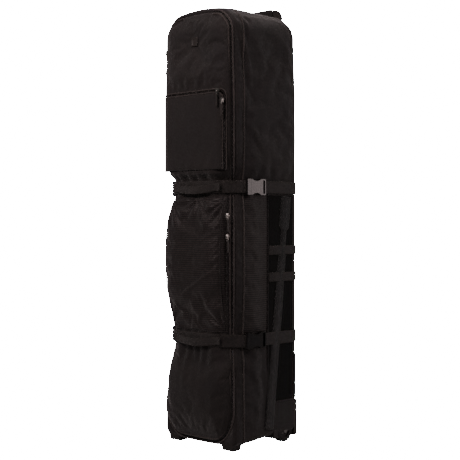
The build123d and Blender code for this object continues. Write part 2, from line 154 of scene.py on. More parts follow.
# Woven nylon strap, whose ribs cross its length; upright tells which way it runs.
def webbingCloth(name, dark, light, upright, roughness=0.6):
    material, tree, shader, place = newMaterial(name, dark, roughness, Sheen_Weight=0.25, Sheen_Roughness=0.4)
    mottled(tree, shader, place, dark, light, 30.0)
    across, up = roundAndUp(tree, place)
    along, over = (up, across) if upright else (across, up)
    zigzag = maths(tree, "MULTIPLY_ADD", ribs(tree, over, 0.004), 0.0008, along)
    rows = maths(tree, "MULTIPLY_ADD", ribs(tree, over, 0.002), 0.5, ribs(tree, zigzag, 0.0016))
    relief(tree, shader, (rows, 0.00035))
    return material


# Moulded plastic with a fine eroded grain; diamond adds raised lozenges at that spacing.
def mouldedPlastic(name, dark, light, roughness, diamond=0.0, depth=0.0006):
    material, tree, shader, place = newMaterial(name, dark, roughness)
    mottled(tree, shader, place, dark, light, 22.0)
    layers = [(speckle(tree, place, 900.0, 2.0), 0.00012)]
    if diamond:
        across, up = roundAndUp(tree, place)
        slants = [ribs(tree, maths(tree, way, across, up), diamond) for way in ("ADD", "SUBTRACT")]
        layers.append((maths(tree, "MULTIPLY", *slants), depth))
    relief(tree, shader, *layers)
    return material


# Polished or satin metal with faint wear.
def wornMetal(name, color, roughness):
    material, tree, shader, place = newMaterial(name, color, roughness, Metallic=1.0)
    wear = speckle(tree, place, 700.0, 4.0)
    spread = addNode(tree, "MapRange", [("Value", wear)], To_Min=roughness * 0.7, To_Max=roughness * 1.4)
    tree.links.new(spread.outputs[0], shader.inputs["Roughness"])
    relief(tree, shader, (wear, 0.0002))
    return material


# Polyester Oxford cloth, woven and backed with polyurethane: matt, with a soft sheen at grazing angles.
# Its threads are 0.35 mm apart, drawn at 0.7 mm so that they show.
padded = wovenCloth("paddedPolyester", "1f1919", "251e1d", 0.0007, 0.00014, 0.66, 0.35)
# Ripstop nylon with a thick raised thread every 6.3 mm: smoother than the Oxford, its lines painted paler as a
# painted highlight where they catch light.
ripstop = wovenCloth("ripstopNylon", "1a1414", "201919", 0.0008, 0.0005, 0.50, 0.30, grid=0.0063,
                     line="352c2b")
# Thin dyed nylon taffeta lining: a flat grey with almost no shine.
lining = wovenCloth("liningNylon", "38363a", "434146", 0.0006, 0.0001, 0.8, 0.2)
# Knitted spacer mesh with holes 2.4 mm apart, painted nearly black: painted shade for the dark recess behind
# the haul straps and for the light lost in its holes.
meshClothPaintedShade = wovenCloth("spacerMeshPaintedShade", "080707", "0d0b0b", 0.0024, 0.0006, 0.9, 0.05)
# Woven polyester zipper tape, a close flat weave: dull, and painted darker than the cloth beside it as painted
# shade for the groove it lies in.
tapePaintedShade = wovenCloth("zipperTapePaintedShade", "0e0b0b", "130f0f", 0.0009, 0.0002, 0.8, 0.1)
# Bias-cut polyester folded over a cord: a paler line, since its curve always faces some light.
welt = wovenCloth("weltCloth", "3a3230", "443b38", 0.0007, 0.0002, 0.55, 0.4)
# The handle sleeve's close-woven polyester: darker and flatter than the case.
gripCloth = wovenCloth("gripPolyester", "141010", "1a1514", 0.0007, 0.00014, 0.6, 0.2)
# Nylon webbing with 1.6 mm ribs across it: satin, with a broken highlight along the ribs.
webbingFlat = webbingCloth("webbingAcross", "221c1a", "2a2321", False)
webbingUp = webbingCloth("webbingUpright", "221c1b", "2a2422", True)
# Tighter seat-belt webbing of filament yarn: darker and glossier than the straps.
haulWebbing = webbingCloth("haulWebbing", "0e0b0b", "151111", True, 0.30)
# Bonded nylon sewing thread, a shade paler than the webbing that it crosses.
thread = wovenCloth("stitchThread", "352e2b", "3e3632", 0.0004, 0.0001, 0.55, 0.2)
# Extruded nylon zipper coil: smooth enough to glint on each turn.
coil = mouldedPlastic("nylonCoil", "231e1d", "2c2624", 0.33)
# Injection-moulded acetal buckles: dense and slick, with a clear highlight.
acetal = mouldedPlastic("acetalBuckle", "0d0a0b", "131011", 0.22)
# Moulded polypropylene with raised lozenges 6.2 mm apart: grey and scuff-proof, with small highlights.
texturedPlastic = mouldedPlastic("diamondPlastic", "2a2625", "36302f", 0.42, diamond=0.0062, depth=0.0011)
# Plain moulded polypropylene with an eroded grain: an even low shine.
plainPlastic = mouldedPlastic("mouldedPlastic", "171414", "1e1b1b", 0.38)
hubPlastic = mouldedPlastic("hubNylon", "1d1c1c", "262424", 0.35)  # glass-filled nylon, slightly paler
# Polyurethane tyres, cast and ground: matt from the floor.
rubber = mouldedPlastic("tyreRubber", "151212", "1c1919", 0.62)
# Soft moulded rubber on the pulls and patch: smooth and rounded, so a little brighter than the cloth.
softRubber = mouldedPlastic("pullRubber", "35302e", "403a38", 0.42)
# Die-cast zinc sliders, tumbled and plated: bright satin grey.
zinc = wornMetal("zincSlider", "a8a4a0", 0.27)
# Turned steel axles and bearings, oiled.
steel = wornMetal("axleSteel", "8d8c8a", 0.3)
print("materials made")


# Makes an object from arrays, gives it its finish, and lets it ride on a body.
def meshPiece(name, points, faces, material, body, replace=(), slot=None, extraMaterials=()):
    mesh = bpy.data.meshes.new(name)
    mesh.from_pydata([tuple(map(float, p)) for p in points], [], [tuple(int(i) for i in f) for f in faces])
    mesh.update()
    piece = bpy.data.objects.new(name, mesh)
    bpy.context.scene.collection.objects.link(piece)
    for item in (material, *extraMaterials):
        mesh.materials.append(item)
    mesh.shade_smooth()
    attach(piece, body)
    if replace:
        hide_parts(*replace)
    return piece


# Quads over a rows by columns grid of points.
def gridFaces(rows, columns, closed=False):
    last = columns if closed else columns - 1
    faces = []
    for i in range(rows - 1):
        for j in range(last):
            k = (j + 1) % columns
            faces.append((i * columns + j, i * columns + k, (i + 1) * columns + k, (i + 1) * columns + j))
    return faces


# Faces of a tube with count rings of size points, whose ends meet if it is closed and are capped if not.
def tubeFaces(count, size, closed=False):
    last = (count - 1) * size
    if closed:
        ends = [(last + j, last + (j + 1) % size, (j + 1) % size, j) for j in range(size)]
    else:
        ends = [tuple(range(size))[::-1], tuple(range(last, last + size))]
    return gridFaces(count, size, True) + ends


# Vectors at length one.
def unit(vectors):
    return vectors / np.maximum(np.linalg.norm(vectors, axis=-1, keepdims=True), 1e-9)


# Three arrays of coordinates as a list of points.
def pointsOf(x, y, z):
    return np.stack([x, y, z], axis=-1).reshape(-1, 3)


# 0 below low, 1 above high, smooth between.
def smoothStep(value, low, high):
    t = np.clip((value - low) / (high - low), 0, 1)
    return t * t * (3 - 2 * t)


# Fractal noise at each point, about -1 to 1; scale is the largest feature in metres.
def cloud(points, scale, offset, octaves=3):
    shift = Vector((offset, -offset, offset * 0.5))
    return np.array([noise.fractal(Vector(p) / scale + shift, 0.7, 2.0, octaves) for p in points.tolist()])


# 1 under either compression strap, falling off over width.
def nearStrap(z, width):
    return sum(np.exp(-((z - zs) / width) ** 2) for zs in strapZ.values())


# How tightly the straps draw the front corners in, as (height, share) marks.
pinch = dict(radius=0.090, side=0.002,
             marks=((0.0, 0.0), (0.10, 0.02), (0.14, 0.14), (0.19, 0.38), (0.248, 0.62), (0.285, 0.92),
                    (0.298, 1.0), (0.362, 1.0), (0.42, 0.6), (0.50, 0.22), (0.62, 0.18), (0.69, 0.42),
                    (0.73, 0.84), (0.752, 1.0),
                    (0.814, 1.0), (0.83, 0.72), (0.85, 0.34), (0.88, 0.08), (0.92, 0.0), (1.4, 0.0)))


# The share of the straps' pull at height z, smoothed between the marks.
def tight(z):
    heights = np.linspace(0, 1.4, 561)
    share = np.interp(heights, *zip(*pinch["marks"]))
    kernel = np.exp(-np.linspace(-2, 2, 9) ** 2)
    return np.interp(z, heights, np.convolve(np.pad(share, 4, mode="edge"), kernel / kernel.sum(), "valid"))


# The padded case, in metres. topBack is the roll from top to back, and seam the piping's place behind the rim.
caseShape = dict(topCorner=0.058, bottomCorner=0.020, backCorner=0.015, topBack=0.047, rim=0.009, gap=0.0037,
                 crown=0.0035, lining=0.005, step=0.006, seam=0.036,
                 topCrown=0.007, topDroop=0.009, taper=0.042, sag=0.016)
# The padded lid. bulge and waist are how far it stands out from the zipper, away from and between the straps.
lidShape = dict(bottomCorner=0.078, topCorner=0.056, bulge=0.0265, waist=0.0105, edgeRound=0.040, crown=0.003,
                lining=0.004, step=0.004)


# Rounds the front upright corners off where the straps cross them, arches the top and sags the bottom.
def squeeze(points):
    p = np.array(points, dtype=float)
    x, y, z = p[:, 0], p[:, 1], p[:, 2]
    arch = caseShape["topCrown"] - caseShape["topDroop"] * np.minimum((x / 0.11) ** 2, 1.4)
    p[:, 2] = z + arch * smoothStep(z, topZ - 0.10, topZ - 0.01)
    bottom = 1 - smoothStep(z, baseZ - 0.005, baseZ + 0.09)
    ahead = 1 - smoothStep(y, rimY + 0.03, rimY + 0.2)
    p[:, 2] -= caseShape["sag"] * bottom * ahead * (1 - 0.25 * (x / sideX) ** 2)
    x = x * (1 - caseShape["taper"] * smoothStep(z, 1.0, topZ - 0.04))
    radius = pinch["radius"]
    out, ahead = np.abs(x) - (sideX - radius), rimY - lidShape["waist"] + radius - y
    inCorner = (out > 0) & (ahead > 0)
    ratio = np.maximum(out, ahead) / np.maximum(np.hypot(out, ahead), 1e-6)
    ratio = np.where(inCorner, 1 + (ratio - 1) * tight(z), 1)
    drop = pinch["side"] * nearStrap(z, 0.03) * smoothStep(np.abs(x), 0.12, sideX)
    p[:, 0] = np.where(inCorner, np.sign(x) * (sideX - radius + out * ratio), x) - np.sign(x) * drop
    p[:, 1] = np.where(inCorner, rimY - lidShape["waist"] + radius - ahead * ratio, y)
    return p


# Outward unit normals of a grid whose rows are closed loops.
def normalsOf(grid):
    alongRow = np.roll(grid, -1, axis=1) - np.roll(grid, 1, axis=1)
    return unit(np.cross(alongRow, np.gradient(grid, axis=0)))


simulation = dict(frames=20, mass=0.2, stretch=18.0, shear=6.0)  # fewer frames settle less and run faster


# Lets cloth simulation puff and crease a skin between its pinned points, and keeps the result.
def settle(piece, pinned, pressure, slack, cap, stiff):
    scene = bpy.context.scene
    before = np.array([v.co[:] for v in piece.data.vertices])
    group = piece.vertex_groups.new(name="pinned")
    group.add([int(i) for i in np.flatnonzero(pinned)], 1.0, "REPLACE")
    cloth = piece.modifiers.new("cloth", "CLOTH")
    rules = cloth.settings
    rules.quality, rules.mass, rules.air_damping = 5, simulation["mass"], 4.0
    rules.tension_stiffness = rules.compression_stiffness = simulation["stretch"]
    rules.shear_stiffness, rules.bending_stiffness = simulation["shear"], stiff
    rules.vertex_group_mass = "pinned"
    rules.use_pressure, rules.uniform_pressure_force = True, pressure
    rules.shrink_min = -slack
    rules.effector_weights.gravity = 0
    cloth.collision_settings.use_collision = False
    cloth.collision_settings.use_self_collision = False
    cloth.point_cache.frame_start, cloth.point_cache.frame_end = 1, simulation["frames"]
    for frameNumber in range(1, simulation["frames"] + 1):
        scene.frame_set(frameNumber)
    after = piece.evaluated_get(bpy.context.evaluated_depsgraph_get()).data
    moved = np.array([v.co[:] for v in after.vertices]) - before
    length = np.linalg.norm(moved, axis=1, keepdims=True)
    keep = np.where(length > cap, cap / np.maximum(length, 1e-9), 1.0)
    piece.modifiers.remove(cloth)
    piece.vertex_groups.remove(group)
    piece.data.vertices.foreach_set("co", (before + moved * keep).reshape(-1))
    piece.data.update()
    scene.frame_set(1)
    print(piece.name, "settled, moved up to %.1f mm" % (1000 * float((length * keep).max())))


# A flat band with soft edges that follows path; across is its width direction.
def sweep(name, path, across, widths, thick, material, body, arch=0.0, **more):
    path = np.array(path, dtype=float)
    count = len(path)
    across = np.broadcast_to(np.array(across, dtype=float), (count, 3))
    widths = np.broadcast_to(np.array(widths, dtype=float), (count,))
    normal = unit(np.cross(across, np.gradient(path, axis=0)))
    section = ((-0.5, 0), (-0.485, 0.4), (-0.4, 0.5), (-0.2, 0.5), (0, 0.5), (0.2, 0.5), (0.4, 0.5),
               (0.485, 0.4), (0.5, 0), (0.485, -0.4), (0.4, -0.5), (0.2, -0.5), (0, -0.5), (-0.2, -0.5),
               (-0.4, -0.5), (-0.485, -0.4))
    rings = [path + across * (a * widths)[:, None] + normal * (b * thick + arch * (1 - 4 * a * a))
             for a, b in section]
    points = np.stack(rings, axis=1).reshape(-1, 3)
    return meshPiece(name, points, tubeFaces(count, len(section)), material, body, **more)


skew = (0.31, 0.53, 0.79)  # a direction that nothing here runs along, to square cross sections to


# A round cord or bar along path.
def tube(name, path, radius, material, body, closed=False, **more):
    path, sides = np.array(path, dtype=float), 8
    ahead = unit((np.roll(path, -1, 0) - np.roll(path, 1, 0)) if closed else np.gradient(path, axis=0))
    one = unit(np.cross(ahead, skew))
    two = np.cross(ahead, one)
    rings = [path + radius * (one * math.cos(a) + two * math.sin(a))
             for a in np.arange(sides) * 2 * math.pi / sides]
    points = np.stack(rings, axis=1).reshape(-1, 3)
    return meshPiece(name, points, tubeFaces(len(path), sides, closed), material, body, **more)


# Points and unit directions every pitch along path.
def evenly(path, pitch):
    path = np.array(path, dtype=float)
    along = np.concatenate([[0], np.cumsum(np.linalg.norm(np.diff(path, axis=0), axis=1))])
    marks = np.linspace(0, along[-1], max(2, int(along[-1] / pitch)))
    def at(marks):
        return pointsOf(*(np.interp(marks, along, coordinate) for coordinate in path.T))
    return at(marks), unit(at(marks + pitch * 0.2) - at(marks - pitch * 0.2))


# Many small rounded bars, one at each spot, lying along its direction.
def beads(name, spots, directions, length, radius, material, body, **more):
    ring = [(math.cos(a), math.sin(a)) for a in np.arange(6) * math.pi / 3]
    template = [(-0.5, 0, 0)] + [(-0.4, c * 0.7, s * 0.7) for c, s in ring] + [(0, c, s) for c, s in ring]
    template += [(0.4, c * 0.7, s * 0.7) for c, s in ring] + [(0.5, 0, 0)]
    template = np.array(template) * (length, radius, radius)
    faces = [(0, 1 + (j + 1) % 6, 1 + j) for j in range(6)]
    for row in (1, 7):
        faces += [(row + j, row + (j + 1) % 6, row + 6 + (j + 1) % 6, row + 6 + j) for j in range(6)]
    faces += [(19, 13 + j, 13 + (j + 1) % 6) for j in range(6)]
    spots, directions = np.array(spots), np.array(directions)
    one = unit(np.cross(directions, skew))
    two = np.cross(directions, one)
    points = (spots[:, None, :] + directions[:, None, :] * template[None, :, 0:1]
              + one[:, None, :] * template[None, :, 1:2]
              + two[:, None, :] * template[None, :, 2:3]).reshape(-1, 3)
    every = [tuple(20 * i + k for k in f) for i in range(len(spots)) for f in faces]
    return meshPiece(name, points, every, material, body, **more)


# Rows of thread stitches along several lines.
def stitching(name, lines, body, pitch=0.0034):
    spots, ways = zip(*(evenly(line, pitch) for line in lines))
    return beads(name, np.vstack(spots), np.vstack(ways), pitch * 0.72, 0.00042, thread, body)


# A corded seam that stands proud of the fabric.
def piping(name, line, normals, body):
    return tube(name, line + normals * 0.0006, 0.0023, welt, body, closed=True)


# (x, z) points round a rounded rectangle, from the bottom middle to the right and up.
def outlineLoop(half, low, high, top, bottom, counts):
    flat, corner, side = counts
    path = []
    def line(a, b, count):
        for i in range(count):
            t = i / count
            path.append((a[0] + (b[0] - a[0]) * t, a[1] + (b[1] - a[1]) * t))
    def arc(cx, cz, radius, start, count):
        for i in range(count):
            angle = start + (math.pi / 2) * i / count
            path.append((cx + radius * math.cos(angle), cz + radius * math.sin(angle)))
    line((0, low), (half - bottom, low), flat)
    arc(half - bottom, low + bottom, bottom, -math.pi / 2, corner)
    line((half, low + bottom), (half, high - top), side)
    arc(half - top, high - top, top, 0, corner)
    line((half - top, high), (0, high), flat)
    right = np.array(path)
    left = right[1:][::-1] * (-1, 1)
    return np.vstack([right, [(0, high)], left])


# Long soft folds of the side panels: y and z of both ends, half width and height.
sideFolds = ((-0.106, 1.285, -0.052, 1.075, 0.010, 0.0044), (-0.075, 1.27, 0.01, 1.13, 0.016, 0.0018),
             (0.125, 1.24, 0.06, 1.02, 0.018, 0.0016), (-0.06, 0.27, 0.0, 0.12, 0.015, 0.0022),
             (0.0, 0.25, 0.035, 0.09, 0.016, 0.0018))


# The lined fabric hood: sides, top, back and bottom, from the zipper edge round to the back.
def caseSkin():
    shape = caseShape
    counts = (14, 14, int(1.2 / shape["step"]))
    rows = []
    gap = shape["gap"]
    rows.append((0.0, lidHalf + gap, lidBottom - gap, lidTop + gap, lidShape["topCorner"] + gap,
                 lidShape["bottomCorner"] + gap))
    for t in np.linspace(0, math.pi / 2, 6):
        inset = shape["rim"] * (1 - math.sin(t))
        rows.append((shape["rim"] * (1 - math.cos(t)), sideX - inset, baseZ + inset, topZ - inset,
                     shape["topCorner"], shape["bottomCorner"]))
    depth = backY - rimY
    roll = depth - shape["topBack"]
    straight = np.linspace(shape["rim"] + 0.004, roll, int(roll / shape["step"]))
    curve = depth - shape["topBack"] * (1 - np.sin(np.linspace(0, math.pi / 2, 13)[1:]))
    for y in list(straight) + list(curve):
        def rounding(radius):
            over = max(0.0, y - (depth - radius))
            return radius - math.sqrt(max(radius * radius - over * over, 0.0))
        side, top, low = rounding(shape["backCorner"]), rounding(shape["topBack"]), rounding(0.02)
        rows.append((y, sideX - side, baseZ + low, topZ - top, max(shape["topCorner"] - top * 0.3, 0.02),
                     shape["bottomCorner"]))
    y, half, low, high, top, bottom = rows[-1]
    for t in np.linspace(0, 1, 20)[1:]:
        keep = 1 - t
        rows.append((y, max(half * keep, 0.0004), low + half * t, high - half * t, max(top * keep, 0.0002),
                     max(bottom * keep, 0.0002)))
    loops = [outlineLoop(h, lo, hi, to, bo, counts) for _, h, lo, hi, to, bo in rows]
    grid = np.array([[(x, rimY + row[0], z) for x, z in loop] for row, loop in zip(rows, loops)])
    count, width = grid.shape[:2]
    flatGrid = grid.reshape(-1, 3)
    normal = -normalsOf(grid).reshape(-1, 3)
    x, y, z = flatGrid.T
    fade = smoothStep(y, rimY + 0.004, rimY + 0.03)
    openSide = np.clip(1 - ((y - (rimY + backY) / 2) / (depth / 2)) ** 2, 0, 1) * (np.abs(normal[:, 0]) > 0.7)
    ladder = smoothStep(y, -0.045, 0.0) * (1 - smoothStep(z, strapZ["upper"], strapZ["upper"] + 0.06))
    ladder = ladder * (np.abs(x) > sideX - 0.02)
    lift = shape["crown"] * openSide * (1 - 0.9 * np.clip(nearStrap(z, 0.036), 0, 1)) * (1 - 0.9 * ladder)
    centre = (y > backY - 0.001) * (1 - smoothStep(np.abs(x), 0.02, 0.06))
    lift += wrinkles(flatGrid, y) * fade * (1 - 0.8 * ladder) * (1 - centre)
    onSide = (np.abs(normal[:, 0]) > 0.6) * fade
    for y0, z0, y1, z1, wide, rise in sideFolds:
        ahead = np.array((y1 - y0, z1 - z0))
        length = np.linalg.norm(ahead)
        along = ((y - y0) * ahead[0] + (z - z0) * ahead[1]) / length ** 2
        off = ((y - y0) * ahead[1] - (z - z0) * ahead[0]) / length + 0.006 * np.sin(along * 4)
        ends = smoothStep(along, -0.05, 0.2) * (1 - smoothStep(along, 0.75, 1.05))
        lift += rise * ends * onSide * (np.exp(-(off / wide) ** 2)
                                        - 0.6 * np.exp(-((off - 1.7 * wide) / wide) ** 2))
    points = flatGrid + normal * lift[:, None]
    points = squeeze(points)
    faces = [f[::-1] for f in gridFaces(count, width, True)]
    row = int(np.argmin(np.abs(grid[:, 0, 1] - (rimY + shape["seam"]))))
    piping("case_piping", points.reshape(count, width, 3)[row], normal.reshape(count, width, 3)[row], "case")
    piece = meshPiece("case_skin", points, faces, padded, "case", ["main_shell"], "padded_fabric",
                      extraMaterials=[lining, ripstop, lining])
    low, high = strapZ["lower"] + 0.02, strapZ["upper"] - 0.02
    for face, spot in zip(piece.data.polygons, [points[list(f)].mean(axis=0) for f in faces]):
        if low < spot[2] < high and spot[1] > rimY + shape["seam"] and abs(spot[0]) > sideX - 0.03:
            face.material_index = 2
    return piece


# Pleats at the straps, how far they run, and the slack cloth's broad and fine waves.
folds = dict(strap=0.0025, length=0.045, broad=0.0019, fine=0.0006)


# Height of the fabric's folds: pleats that run out from the straps, and slack elsewhere.
def wrinkles(points, along):
    z = points[:, 2]
    wander = cloud(points, 0.16, 3.1, 2)
    height = (folds["broad"] * cloud(points * (1, 1, 0.7), 0.11, 7.7)
              + folds["fine"] * cloud(points, 0.03, 1.9))
    for seed, zs in enumerate(strapZ.values()):
        away = np.abs(z - zs)
        reach = np.exp(-away / folds["length"]) * (1 - np.exp(-(away / 0.016) ** 2))
        phase = 2 * math.pi * along / 0.047 + 5.0 * wander + 2.1 * seed + np.sign(z - zs) * 0.9
        height += folds["strap"] * reach * np.sin(phase)
    return height


# Half the lid's width at height z, where grow widens it all round.
def lidWidth(z, grow):
    bottom, top = lidShape["bottomCorner"] + grow, lidShape["topCorner"] + grow
    low, high, half = lidBottom - grow, lidTop + grow, lidHalf + grow
    over = np.maximum(0, low + bottom - z)
    width = np.where(over > 0, half - bottom + np.sqrt(np.maximum(bottom ** 2 - over ** 2, 0)), half)
    over = np.maximum(0, z - (high - top))
    return np.where(over > 0, half - top + np.sqrt(np.maximum(top ** 2 - over ** 2, 0)), width)


# How far the lid's face stands in front of the zipper line at height z.
def lidBulge(z):
    low, high = strapZ["lower"] - 0.03, strapZ["upper"] + 0.02
    between = smoothStep(z, low - 0.12, low) * (1 - smoothStep(z, high, high + 0.026))
    ends = smoothStep(z, lidBottom - 0.02, lidBottom + 0.06)
    ends = ends * (1 - 0.55 * smoothStep(z, 1.09, 1.25)) * (1 - smoothStep(z, lidTop - 0.05, lidTop + 0.02))
    full = 0.009 + (lidShape["bulge"] - 0.009) * ends
    return full * (1 - between) + lidShape["waist"] * between


# The Y of the lid's outer face.
def lidSurface(x, z):
    x, z = np.asarray(x, dtype=float), np.asarray(z, dtype=float)
    grow = caseShape["gap"] - 0.0004
    side = lidWidth(z, grow) - np.abs(x)
    ends = np.minimum(z - (lidBottom - grow), lidTop + grow - z)
    inside = np.minimum(side, np.maximum(ends, 0))
    t = np.clip(inside / lidShape["edgeRound"], 0, 1)
    rise = np.sqrt(np.maximum(1 - (1 - t) ** 2, 0))
    bulge = lidBulge(z)
    crown = lidShape["crown"] * np.clip(1 - (x / lidHalf) ** 2, 0, 1) * smoothStep(bulge, 0.012, 0.028)
    return rimY - (bulge + crown) * rise


# The lid's padded face, with the opening behind the pocket flap left out.
def lidSkin():
    grow = caseShape["gap"] - 0.0004
    low, high = lidBottom - grow, lidTop + grow
    hole = (flapHigh[0] + 0.001, flapLow[2] - 0.0005, flapHigh[2] + 0.001)
    step = lidShape["step"]
    ease = lidShape["bottomCorner"] * (1 - np.cos(np.linspace(0, math.pi / 2, 34)))
    zs = list(low + ease) + list(np.arange(low + ease[-1] + step, hole[1] - step / 2, step)) + [hole[1]]
    zs += list(np.linspace(hole[1], hole[2], int((hole[2] - hole[1]) / step))[1:])
    zs += list(np.arange(hole[2] + step, high - lidShape["topCorner"], step))
    zs += list(high - lidShape["topCorner"] * (1 - np.sin(np.linspace(0, math.pi / 2, 24))))[1:]
    zs = np.array(sorted(set(np.round(zs, 6))))
    share = np.linspace(-1, 1, 2 * int(lidHalf / step) + 1)
    bent = np.sign(share) * (1 - (1 - np.abs(share)) ** 1.25)
    widths = lidWidth(zs, grow)
    grid = np.zeros((len(zs), len(share), 3))
    for i, z in enumerate(zs):
        x = bent * widths[i]
        near = np.argmin(np.abs(x - hole[0])), np.argmin(np.abs(x + hole[0]))
        if widths[i] > hole[0] + 0.004:
            x[near[0]], x[near[1]] = hole[0], -hole[0]
        grid[i] = pointsOf(x, lidSurface(x, z), np.full_like(x, z))
    points = grid.reshape(-1, 3)
    inside = np.clip((lidWidth(points[:, 2], grow) - np.abs(points[:, 0])) / 0.02, 0, 1)
    quiet = 1 - 0.7 * ((np.abs(points[:, 0]) < hole[0] + 0.012) & (points[:, 2] > hole[1] - 0.012)
                       & (points[:, 2] < hole[2] + 0.012))
    points[:, 1] -= wrinkles(points, points[:, 0]) * inside * quiet
    points = squeeze(points)
    count, width = grid.shape[:2]
    faces = []
    for i, j in ((i, j) for i in range(count - 1) for j in range(width - 1)):
        x = (grid[i, j, 0] + grid[i, j + 1, 0]) / 2
        z = (zs[i] + zs[i + 1]) / 2
        if abs(x) < hole[0] and hole[1] < z < hole[2]:
            continue
        faces.append((i * width + j, i * width + j + 1, (i + 1) * width + j + 1, (i + 1) * width + j))
    return meshPiece("lid_skin", points, faces, padded, "lid", ["lid_panel"], "padded_fabric",
                     extraMaterials=[lining])


# Gives a skin its thickness, inwards from the face that shows.
def addWall(piece, thickness):
    wall = piece.modifiers.new("wall", "SOLIDIFY")
    wall.thickness, wall.offset = thickness, -1
    return wall


# The same, with lining on the inside.
def addLining(piece, thickness):
    wall = addWall(piece, thickness)
    wall.material_offset, wall.material_offset_rim = 1, 0


hood = caseSkin()
x, y, z = np.array([v.co[:] for v in hood.data.vertices]).T
strapped = np.minimum(np.abs(z - strapZ["upper"]), np.abs(z - strapZ["lower"])) < 0.021
held = strapped | (y < rimY + 0.012) | (np.abs(y - rimY - caseShape["seam"]) < 0.005) | (y > backY - 0.012)
held |= z < baseZ + 0.03
held |= (y > -0.012) & (z < strapZ["upper"] + 0.03) | (np.abs(x) < 0.11) & (z > topZ - 0.01) & (y > 0.08)
settle(hood, held, 0.35, 0.012, 0.007, 1.2)
addLining(hood, caseShape["lining"])
backSeam = [(0, backY + 0.0004, z) for z in np.linspace(baseZ + 0.022, strapZ["lower"] - 0.012, 40)]
tube("case_back_seam", backSeam, 0.0024, padded, "case")
face = lidSkin()
x, y, z = np.array([v.co[:] for v in face.data.vertices]).T
strapped = np.minimum(np.abs(z - strapZ["upper"]), np.abs(z - strapZ["lower"])) < 0.021
patchLow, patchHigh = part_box("blank_patch")
held = strapped | (lidWidth(z, 0.0033) - np.abs(x) < 0.011) | (z < lidBottom + 0.008) | (z > lidTop - 0.008)
held |= (np.abs(x) < flapHigh[0] + 0.016) & (z > flapLow[2] - 0.004) & (z < flapHigh[2] + 0.018)
held |= (np.abs(x) < patchHigh[0] + 0.005) & (z > patchLow[2] - 0.005) & (z < patchHigh[2] + 0.005)
held |= (np.abs(x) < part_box("mid_pocket")[1][0]) & (z > strapZ["lower"]) & (z < strapZ["upper"])
settle(face, held, 0.5, 0.016, 0.008, 1.0)
addLining(face, lidShape["lining"])
print("skins made")


# Points along the main zipper, from the left top corner down, across and up to the right top corner.
def zipperOutline(grow):
    loop = outlineLoop(lidHalf + grow, lidBottom - grow, lidTop + grow, lidShape["topCorner"] + grow,
                       lidShape["bottomCorner"] + grow, (60, 40, 400))
    start = len(loop) // 2
    around = np.vstack([loop[start:], loop[:start]])
    around = around[(np.abs(around[:, 0]) > 0.07) | (around[:, 1] < 0.5)]
    return pointsOf(around[:, 0], np.full(len(around), rimY - 0.0012), around[:, 1])


# A number 8 nylon coil zipper: distance between turns, their length and half thickness.
zipper = dict(pitch=0.0026, reach=0.0034, radius=0.00085, weltRadius=0.0026, lidWelt=0.0056, caseWelt=-0.0004)


# One row of zipper coils, on one side of the zipper's line.
def coilRows(name, path, outward, body, replace, fabricSide=1):
    spots, ahead = evenly(path, zipper["pitch"])
    across = unit(np.cross(ahead, outward))
    shifted = spots + across * fabricSide * zipper["reach"] * 0.42
    return beads(name, shifted, across, zipper["reach"], zipper["radius"], coil, body, replace=replace,
                 slot="zipper_coil")


mainPath = squeeze(zipperOutline(0.0035))
for side, body, node in ((1, "lid", "main_zipper_lid"), (-1, "case", "main_zipper_case")):
    coilRows(body + "_main_coil", mainPath, (0, -1, 0), body, [node], fabricSide=side)
for body, grow in (("lid", -0.0012), ("case", 0.0098)):
    line = zipperOutline(grow)
    line[:, 1] -= zipper[body + "Welt"]
    tube(body + "_main_welt", squeeze(line), zipper["weltRadius"], welt, body)
for body, inner, outer, lift in (("lid", -0.0036, 0.0031, 0.0006), ("case", 0.0039, 0.0104, 0.0001)):
    inside, outside = squeeze(zipperOutline(inner)), squeeze(zipperOutline(outer))
    inside[:, 1] -= lift if body == "lid" else 0
    outside[:, 1] -= 0 if body == "lid" else lift
    rows = np.stack([inside, outside])
    # The tape's darker colour is painted shade in the groove between the welts.
    meshPiece(body + "_main_tape", rows.reshape(-1, 3), gridFaces(2, rows.shape[1]), tapePaintedShade, body)
print("main zipper made")


chainLow, chainHigh = [list(c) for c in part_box("upper_pocket_zipper")]
upperPocket = dict(corner=0.014, padding=0.003, rise=0.0016, zipperCorner=0.019, edgeGap=0.0048,
                   edgeRadius=0.0018)


# The pocket's padded flap, a crowned panel with a turned edge.
def flapSkin():
    half, low, high = flapHigh[0], flapLow[2] + 0.001, flapHigh[2]
    xs, zs = np.linspace(-half, half, 64), np.linspace(low, high, 60)
    gx, gz = np.meshgrid(xs, zs)
    corner = upperPocket["corner"]
    over = np.maximum(0, gz - (high - corner))
    limit = half - corner + np.sqrt(np.maximum(corner ** 2 - over ** 2, 0))
    gx = gx * limit / half
    gy = lidSurface(gx, gz)
    edge = np.clip(np.minimum(half - np.abs(gx), np.minimum(gz - low, high - gz)) / 0.01, 0, 1)
    gy = gy - 0.0006 - upperPocket["rise"] * np.sqrt(edge)
    points = pointsOf(gx, gy, gz)
    points[:, 1] -= wrinkles(points, points[:, 0]) * 0.5 * edge.reshape(-1)
    piece = meshPiece("pocket_flap_skin", points, gridFaces(60, 64), padded, "pocket_flap",
                      ["upper_pocket_flap"], "padded_fabric", extraMaterials=[lining])
    addLining(piece, upperPocket["padding"])


